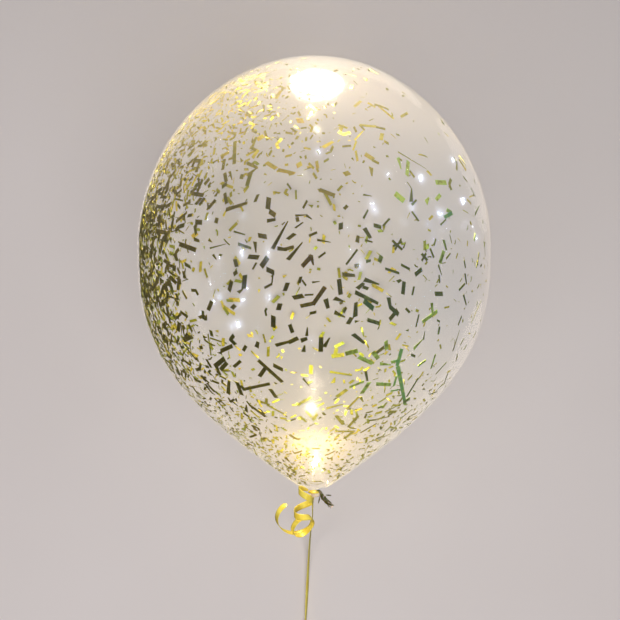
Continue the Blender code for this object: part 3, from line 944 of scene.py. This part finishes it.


# Scatters the kinds over a film by its shredShare, each turned, leaned, sized and tinted at random, the tint
# turned golden where warm light is painted
def shredTree(kinds, material):
    tree = bpy.data.node_groups.new("shredsOnFilm", "GeometryNodeTree")
    sockets = {}
    for name, way, kind in (
        ("Film", "INPUT", "Geometry"),
        ("Density", "INPUT", "Float"),
        ("Lean", "INPUT", "Float"),
        ("Seed", "INPUT", "Int"),
        ("Shreds", "OUTPUT", "Geometry"),
    ):
        made = tree.interface.new_socket(name=name, in_out=way, socket_type=f"NodeSocket{kind}")
        sockets[name] = made.identifier
    given = addNode(tree, "NodeGroupInput").outputs

    def stored(name):
        node = addNode(tree, "GeometryNodeInputNamedAttribute", {"Name": name}, data_type="FLOAT")
        return node.outputs["Attribute"]

    def draw(kind, low, high, offset):
        first, second, out = {"FLOAT_VECTOR": (0, 1, 0), "FLOAT": (2, 3, 1), "INT": (4, 5, 2)}[kind]
        ends = {first: low, second: high, "Seed": mixed(tree, "ADD", given["Seed"], offset)}
        return addNode(tree, "FunctionNodeRandomValue", ends, data_type=kind).outputs[out]

    spots = addNode(tree, "GeometryNodeDistributePointsOnFaces", {
        "Mesh": given["Film"],
        "Density": mixed(tree, "MULTIPLY", given["Density"], stored("shredShare")),
        "Seed": given["Seed"],
    })
    kindsIn = addNode(tree, "GeometryNodeCollectionInfo", {
        "Collection": kinds,
        "Separate Children": True,
        "Reset Children": True,
    })
    lean = given["Lean"]
    back = mixed(tree, "MULTIPLY", lean, -1.0)
    low = addNode(tree, "ShaderNodeCombineXYZ", {"X": back, "Y": back, "Z": 0.0})
    high = addNode(tree, "ShaderNodeCombineXYZ", {"X": lean, "Y": lean, "Z": 2 * math.pi})
    turn = draw("FLOAT_VECTOR", low.outputs[0], high.outputs[0], 2)
    leaning = addNode(tree, "FunctionNodeEulerToRotation", {"Euler": turn})
    rotation = addNode(tree, "FunctionNodeRotateRotation", {
        "Rotation": spots.outputs["Rotation"],
        "Rotate By": leaning.outputs["Rotation"],
    }, rotation_space="LOCAL")
    placed = addNode(tree, "GeometryNodeInstanceOnPoints", {
        "Points": spots.outputs["Points"],
        "Instance": kindsIn.outputs[0],
        "Pick Instance": True,
        "Instance Index": draw("INT", 0, len(kinds.objects) - 1, 1),
        "Rotation": rotation.outputs["Rotation"],
        "Scale": mixed(tree, "MULTIPLY", draw("FLOAT", *shreds["sizes"], 3), stored("shredSize")),
    })
    # painted warm light: golden tints where it lies, random tints elsewhere
    paintedWarmth = stored("shredWarmth")
    cool = mixed(tree, "SUBTRACT", 1.0, paintedWarmth)
    plain = mixed(tree, "MULTIPLY", draw("FLOAT", *shreds["tints"], 4), cool)
    paintedGoldTint = mixed(tree, "MULTIPLY", draw("FLOAT", *shreds["paintedGoldTints"], 5), paintedWarmth)
    kept = addNode(tree, "GeometryNodeStoreNamedAttribute", {
        "Geometry": placed.outputs["Instances"],
        "Name": "foilTint",
    }, data_type="FLOAT", domain="INSTANCE")
    value = next(s for s in kept.inputs if s.name == "Value" and s.enabled)
    tree.links.new(mixed(tree, "ADD", plain, paintedGoldTint), value)
    real = addNode(tree, "GeometryNodeRealizeInstances", {"Geometry": kept.outputs["Geometry"]})
    dressed = addNode(tree, "GeometryNodeSetMaterial", {"Geometry": real.outputs[0], "Material": material})
    addNode(tree, "NodeGroupOutput", {"Shreds": dressed.outputs["Geometry"]})
    return tree, sockets


# Bends the shreds that reach through the film back to just inside it
def keepInside(mesh):
    for vertex in mesh.vertices:
        x, y, z = vertex.co
        y = min(max(y, bluntY + shreds["ends"]), crownY - shreds["ends"])
        away = math.hypot(x, z - axisHeight)
        shrunk = min(1.0, (ringRadius(y) - shreds["gap"]) / max(away, 1e-6))
        vertex.co = (x * shrunk, y, max(axisHeight + (z - axisHeight) * shrunk, shreds["gap"]))


def makeShreds(material):
    kinds = bpy.data.collections.new("shredKinds")
    for index, (*form, copies) in enumerate(shreds["kinds"]):
        mesh = shredMesh(f"shredKind{index:02}", *form)
        for copy in range(copies):
            kinds.objects.link(bpy.data.objects.new(f"shredKind{index:02}copy{copy}", mesh))
    film = envelopeMesh("film", shreds["filmRings"], shreds["filmPoints"], shreds["inset"], shreds["filmEnd"])
    rows = [(shredShare(vertex.co), *shredSizeAndPaintedWarmth(vertex.co)) for vertex in film.vertices]
    for name, values in zip(("shredShare", "shredSize", "shredWarmth"), zip(*rows)):
        film.attributes.new(name, "FLOAT", "POINT").data.foreach_set("value", values)
    made = linkNew("foilShreds", film)
    tree, sockets = shredTree(kinds, material)
    step = made.modifiers.new("shreds", "NODES")
    step.node_group = tree
    for name in ("density", "lean", "seed"):
        step[sockets[name.capitalize()]] = shreds[name]
    mesh = modified(made)
    mesh.name = "foilShreds"
    made.modifiers.remove(step)
    made.data = mesh
    bpy.data.meshes.remove(film)
    for helper in list(kinds.objects):
        bpy.data.objects.remove(helper)
    bpy.data.collections.remove(kinds)
    keepInside(mesh)
    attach(made, "root")
    print("foil shreds made:", len(mesh.polygons), "faces")
    return made


# The tied end: rings of latex round the neck, then its open mouth, with foil caught in it

knot = {
    "centre": Vector((0.0012, -0.1676, 0.1380)),
    "ringRadius": 0.0022,
    "strandRadius": 0.0016,
    "coreRadius": 0.0026,
    "tilts": (15, -18),
    "turnSteps": 24,
    "overlap": 2,  # steps past the full turn, so that the ends lie inside
    "coreSteps": 12,
    "grain": 0.00028,
}
tail = {
    "start": Vector((0.0034, -0.1652, 0.1390)),
    "length": 0.0168,
    "radius": 0.0016,
    "swing": 42,
    "firstSwing": 0.9,  # share of it at the start
    "swell": 0.14,
    "droop": 0.0020,
    "steps": 20,
    "wall": 0.00035,
    "rim": [(0.1, 0.8, 0), (0.6, 0.5, 0), (0.7, 0, 0.5), (0.2, 0, 1.2)],  # lips on, lips out, walls in
    "lip": 0.0005,
    "wallStart": 4,
    "seed": 3,
    "lumps": 90,
    "lumpLengths": (0.0014, 0.0028),
    "lumpHalves": (0.0004, 0.0009),
    "lumpReach": (0.8, 1.05),  # in radii of the tail
    "bulge": 0.0004,
    "thickness": shreds["thickness"] * 1.5,
    # thin ones that stick out: pixel of the middle, length, turn in degrees, width
    "slivers": [(328.6, 495.2, 5.6, -3, 1.3), (319.2, 500.0, 7.0, 77, 1.3)],
}


def knotParts():
    centre = knot["centre"]
    parts = []
    for tilt in knot["tilts"]:
        turn = Euler((math.pi / 2 + math.radians(tilt), 0, math.radians(tilt))).to_matrix()
        up = turn @ Vector((0, 0, 1))
        stations = []
        for i in range(knot["turnSteps"] + knot["overlap"] + 1):
            angle = 2 * math.pi * i / knot["turnSteps"]
            out = turn @ Vector((math.cos(angle), math.sin(angle), 0))
            stations.append((centre + out * knot["ringRadius"], out, up, knot["strandRadius"]))
        parts.append(stripMesh("knotTurn", stations, section=roundSection))
    stations = []
    for i in range(knot["coreSteps"] + 1):
        angle = math.pi * i / knot["coreSteps"]
        middle = centre + Vector((0, knot["coreRadius"] * math.cos(angle), 0))
        half = max(knot["coreRadius"] * math.sin(angle), 0.0001)
        stations.append((middle, Vector((1, 0, 0)), Vector((0, 0, 1)), half))
    parts.append(stripMesh("knotCore", stations, section=roundSection))
    return parts


def makeKnot(material):
    made = linkNew("latexKnot", joinTinted("latexKnot", knotParts(), (0, 0, 0), material))
    grown = made.modifiers.new("grown", "REMESH")
    grown.mode = "VOXEL"
    grown.voxel_size = knot["grain"]
    grown.use_smooth_shade = True
    eased = made.modifiers.new("eased", "SMOOTH")
    eased.factor = 0.5
    eased.iterations = 4
    mesh = modified(made)
    made.modifiers.clear()
    made.data = mesh
    made.data.name = "latexKnotGrown"
    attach(made, "root")
    return made


def tailLine():
    line = []
    step = tail["length"] / tail["steps"]
    swung = math.radians(tail["swing"])
    x = y = 0.0
    for i in range(tail["steps"] + 1):
        along = i / tail["steps"]
        share = 1 - tail["swell"] * (1 - math.sin(math.pi * along))
        line.append((tail["start"] + Vector((x, y, -tail["droop"] * along**2)), tail["radius"] * share))
        angle = swung * min(1.0, tail["firstSwing"] + along * 0.2)
        x += step * math.sin(angle)
        y -= step * math.cos(angle)
    return line


def tailFrames():
    centres, radii = zip(*tailLine())
    frames = []
    for i, (centre, radius) in enumerate(zip(centres, radii)):
        forward = headingAt(centres, i)
        across = forward.cross(Vector((0, 0, 1))).normalized()
        frames.append((centre, across, across.cross(forward), radius, forward))
    return frames


# A tube that comes back inside itself behind a thick lip
def makeTail(material):
    frames = tailFrames()
    stations = [(c, a, n, r) for c, a, n, r, forward in frames]
    centre, across, normal, radius, forward = frames[-1]
    lip, wall = tail["lip"], tail["wall"]
    for on, out, inside in tail["rim"]:
        stations.append((centre + forward * lip * on, across, normal, radius + lip * out - wall * inside))
    stations += [(c, a, n, r - wall) for c, a, n, r, forward in reversed(frames[tail["wallStart"]:-1])]
    made = linkNew("latexTail", stripMesh("latexTail", stations, material=material, section=roundSection))
    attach(made, "root")
    return made


def makeTailFoil(material):
    chance = random.Random(tail["seed"])
    frames = tailFrames()
    meshes = []
    for i in range(tail["lumps"]):
        spot = (len(frames) - 1) * i / (tail["lumps"] - 1)
        centre, across, normal, radius, forward = frames[int(spot)]
        about = chance.uniform(0, 2 * math.pi)
        out = across * math.cos(about) + normal * math.sin(about)
        heading = forward + out * chance.uniform(-0.4, 0.5) + across * chance.uniform(-0.4, 0.4)
        heading.normalize()
        side = heading.cross(out).normalized()
        face = side.cross(heading)
        middle = centre + out * radius * chance.uniform(*tail["lumpReach"])
        length = chance.uniform(*tail["lumpLengths"])
        half = chance.uniform(*tail["lumpHalves"])
        stations = [
            (middle + heading * length * t + face * tail["bulge"] * t * t, side, face, half)
            for t in (-0.5, 0, 0.5)
        ]
        meshes.append(stripMesh("tuft", stations, tail["thickness"], smooth=False))
    for px, py, length, turn, width in tail["slivers"]:
        middle, scale = atHeight(px, py, tail["start"].z)
        angle = math.radians(turn)
        heading = Vector((math.cos(angle), math.sin(angle), 0))
        side = Vector((-math.sin(angle), math.cos(angle), 0))
        stations = [
            (middle + heading * length * scale * t, side, Vector((0, 0, 1)), width / 2 * scale * (1 - abs(t)))
            for t in (-0.5, 0, 0.5)
        ]
        meshes.append(stripMesh("sliver", stations, tail["thickness"], smooth=False))
    tints = [chance.uniform(0.3, 0.7) for mesh in meshes]
    made = linkNew("tailFoil", joinTinted("tailFoil", meshes, tints, material))
    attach(made, "root")
    return made


# Ribbon

ribbon = {
    "width": 0.005,
    "half": 0.0025 * 0.99,  # stays inside its solid
    "thickness": 0.00035,
    "section": [
        (-1, 0), (-0.97, -0.8), (-0.5, -1), (0.5, -1), (0.97, -0.8),
        (1, 0), (0.97, 0.8), (0.5, 1), (-0.5, 1), (-0.97, 0.8),
    ],
}
tether = {
    "step": 0.0025,
    "route": [
        (-0.0010, -0.1681, 0.1314, 50),
        (-0.0010, -0.1750, 0.1304, 16),
        (-0.0011, -0.1840, 0.1255, 8),
        (-0.0013, -0.1925, 0.1150, 8),
        (-0.0015, -0.1990, 0.1000, 9),
        (-0.0018, -0.2050, 0.0800, 11),
        (-0.0022, -0.2110, 0.0580, 12),
        (-0.0027, -0.2185, 0.0370, 14),
        (-0.0033, -0.2285, 0.0190, 16),
        (-0.0040, -0.2420, 0.0085, 18),
        (-0.0049, -0.2590, 0.0040, 22),
        (-0.0058, -0.2780, 0.0026, 28),
        (-0.0067, -0.2960, 0.0026, 22),
        (-0.0075, -0.3111, 0.0026, 12),
    ],
    "knot": (-0.0078, -0.3145, 0.0025),
    "knotRadii": (0.0026, 0.0030, 0.0024),
    "clearance": 0.0004,
    "knotHalf": 0.0012,
    "knotThickness": ribbon["thickness"] * 1.6,
    "knotFill": (0.8, 0.8, 0.55),  # of its radii
    "knotPoints": 72,
    "loopLength": 0.040,
    "loopWidth": 0.018,
    "loopWidest": 0.77,  # half of a drop's width
    "loopStart": 0.26,
    "loopPoints": 60,
}


# A flat ribbon through points, its width along the given directions
def ribbonMesh(name, points, acrosses, halves, material, thickness=ribbon["thickness"]):
    stations = []
    for i, (point, across, half) in enumerate(zip(points, acrosses, halves)):
        forward = headingAt(points, i)
        across = (across - forward * across.dot(forward)).normalized()
        stations.append((point, across, forward.cross(across).normalized(), half))
    return stripMesh(name, stations, thickness, material, ribbon["section"])


# The tether hangs from the neck to the floor and ends in a knot and a loop
def makeTether(material):
    rows = smoothRoute(tether["route"], tether["step"])
    points = [Vector(row[:3]) for row in rows]
    acrosses = []
    up = Vector((0, 0, 1))
    for i, row in enumerate(rows):
        forward = headingAt(points, i)
        side = forward.cross(up).normalized()
        angle = math.radians(row[3])
        acrosses.append(side.cross(forward) * math.cos(angle) + side * math.sin(angle))
    kx, ky, kz = tether["knot"]
    points.append(Vector((kx, ky, kz)))
    acrosses.append(Vector((1, 0, 0.6)).normalized())
    root = ky - tether["knotRadii"][1] - tether["clearance"]
    half = tether["loopWidth"] / 2 / tether["loopWidest"]
    start = tether["loopStart"]
    for i in range(tether["loopPoints"] + 1):
        angle = start + (2 * math.pi - 2 * start) * i / tether["loopPoints"]
        out = (math.cos(start) - math.cos(angle)) / 2
        sway = half * math.sin(angle) * math.sin(angle / 2)
        points.append(Vector((kx + sway, root - tether["loopLength"] * out, kz)))
        acrosses.append(up)
    halves = [ribbon["half"]] * len(points)
    made = linkNew("ribbonTether", ribbonMesh("ribbonTether", points, acrosses, halves, material))
    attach(made, "root")
    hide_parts("ribbon_tether", "ribbon_loop")
    return made, [tuple(p) for p in points]


# An overhand knot as a trefoil, which 3.4 and 1.6 bring down to less than one each way
def makeEndKnot(material):
    wide, long, high = (radius * fill for radius, fill in zip(tether["knotRadii"], tether["knotFill"]))
    count = tether["knotPoints"]
    points = []
    acrosses = []
    for i in range(count + 1):
        angle = 2 * math.pi * i / count
        x = (math.sin(angle) + 2 * math.sin(2 * angle)) / 3.4
        y = (math.cos(angle) - 2 * math.cos(2 * angle)) / 3.4
        z = -math.sin(3 * angle) / 1.6
        points.append(Vector(tether["knot"]) + Vector((x * wide, y * long, z * high)))
        acrosses.append(Vector((math.cos(angle) * 0.4, math.sin(angle) * 0.4, 1)).normalized())
    halves = [tether["knotHalf"]] * len(points)
    mesh = ribbonMesh("ribbonEndKnot", points, acrosses, halves, material, tether["knotThickness"])
    made = linkNew("ribbonEndKnot", mesh)
    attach(made, "root")
    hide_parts("ribbon_end_knot")
    return made


curl = {
    "points": 220,
    "pinch": 0.35,  # how narrow the ribbon is drawn at the tie
    "widening": 14,  # how soon it is at its full width
    "endPinch": 0.3,
    "narrowing": 16,
    "firstAxis": (0.0, 1.0, 0.0),
    "lastAxis": (-0.5, 0.5, -0.71),
    # degrees wound, middle of the turn, its radius, share of the way from the first axis to the last
    "turns": [
        (70, -0.0064, -0.1641, 0.1455, 0.0050, 0.0),
        (180, -0.0068, -0.1625, 0.1460, 0.0054, 0.0),
        (360, -0.0076, -0.1717, 0.1460, 0.0062, 0.0),
        (540, -0.0086, -0.1808, 0.1460, 0.0072, 0.0),
        (640, -0.0088, -0.1860, 0.1455, 0.0076, 0.35),
        (720, -0.0090, -0.1912, 0.1450, 0.0083, 0.85),
        (810, -0.0092, -0.1923, 0.1445, 0.0088, 1.0),
        (900, -0.0092, -0.1923, 0.1440, 0.0092, 1.0),
        (1080, -0.0096, -0.1919, 0.1435, 0.0101, 1.0),
        (1170, -0.0119, -0.1895, 0.1430, 0.0113, 1.0),
        (1260, -0.0175, -0.1848, 0.1425, 0.0135, 1.0),
        (1320, -0.0202, -0.1840, 0.1420, 0.0132, 1.0),
        (1346, -0.0206, -0.1840, 0.1420, 0.0130, 1.0),
    ],
}


def makeCurl(material):
    rows = curl["turns"]
    first = Vector(curl["firstAxis"])
    last = Vector(curl["lastAxis"]).normalized()
    points = []
    axes = []
    halves = []
    for i in range(curl["points"] + 1):
        place = i / curl["points"]
        wound, x, y, z, radius, tip = splineAt(rows, place * (len(rows) - 1))
        axis = first.lerp(last, min(max(tip, 0.0), 1.0)).normalized()
        right = Vector((1, 0, 0))
        right = (right - axis * right.dot(axis)).normalized()
        angle = math.radians(wound)
        out = right * math.cos(angle) + axis.cross(right) * math.sin(angle)
        points.append(Vector((x, y, z)) + out * radius)
        axes.append(axis)
        drawn = curl["pinch"] + (1 - curl["pinch"]) * place * curl["widening"]
        halves.append(ribbon["half"] * min(drawn, 1.0, curl["endPinch"] + (1 - place) * curl["narrowing"]))
    made = linkNew("ribbonCurl", ribbonMesh("ribbonCurl", points, axes, halves, material))
    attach(made, "root")
    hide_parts("ribbon_curl")
    return made, [tuple(p) for p in points]


tie = {
    "turns": 2.5,
    "points": 120,
    "radius": 0.0038,
    "growth": 0.0007,
    "wander": 0.0003,
    "half": 0.0006,
}


# The ribbon wound round the neck
def makeTie(material):
    low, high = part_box("ribbon_tie")
    points = []
    for i in range(tie["points"] + 1):
        share = i / tie["points"]
        angle = 2 * math.pi * tie["turns"] * share
        radius = tie["radius"] + tie["growth"] * share
        y = (low.y + high.y) / 2 + tie["wander"] * (math.sin(angle * 0.4) - 1)
        points.append(Vector((radius * math.cos(angle), y, axisHeight + radius * math.sin(angle))))
    along = [Vector((0, 1, 0))] * len(points)
    halves = [tie["half"]] * len(points)
    made = linkNew("ribbonTie", ribbonMesh("ribbonTie", points, along, halves, material))
    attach(made, "root")
    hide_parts("ribbon_tie")
    return made


makeCamera()
floor = makeFloor()
makeWorld()
satin = satinRibbon()
tetherPiece, tetherPath = makeTether(satin)
endKnot = makeEndKnot(satin)
curlPiece, curlPath = makeCurl(satin)
tiePiece = makeTie(satin)
print("ribbon made")

thick = thickLatex("thickLatex", 0.85)
gold = goldFoil()
shell = makeShell(clearLatex())
tied = [makeKnot(thick), makeTail(thickLatex("neckLatex", 0.28))]
foil = [makeStrips("foilStrips", [("near", 1), ("far", -1)], gold), makeShreds(gold)]
lowFoil = makeStrips("lowFoilStrips", [("low", -1)], gold)
highFoil = makeStrips("highFoilStrips", [("high", -1)], gold)
greenFoil = makeStrips("greenFoilStrips", [("green", 1)], gold)
makeTailFoil(gold)

ribbons = [tetherPiece, curlPiece, tiePiece, endKnot]
lit = {}
for name, pieces in {
    "film": [shell],
    "inside": [*foil, highFoil, greenFoil, *ribbons, *tied],
    "green": [greenFoil],
    "high": [highFoil],
    "low": [lowFoil],
    "room": [floor, *ribbons, *tied],
}.items():
    lit[name] = bpy.data.collections.new(f"{name}Lit")
    for piece in pieces:
        lit[name].objects.link(piece)
makeLamps(lit)
makeBloom()
scene.view_settings.view_transform = "Standard"
print("lit")
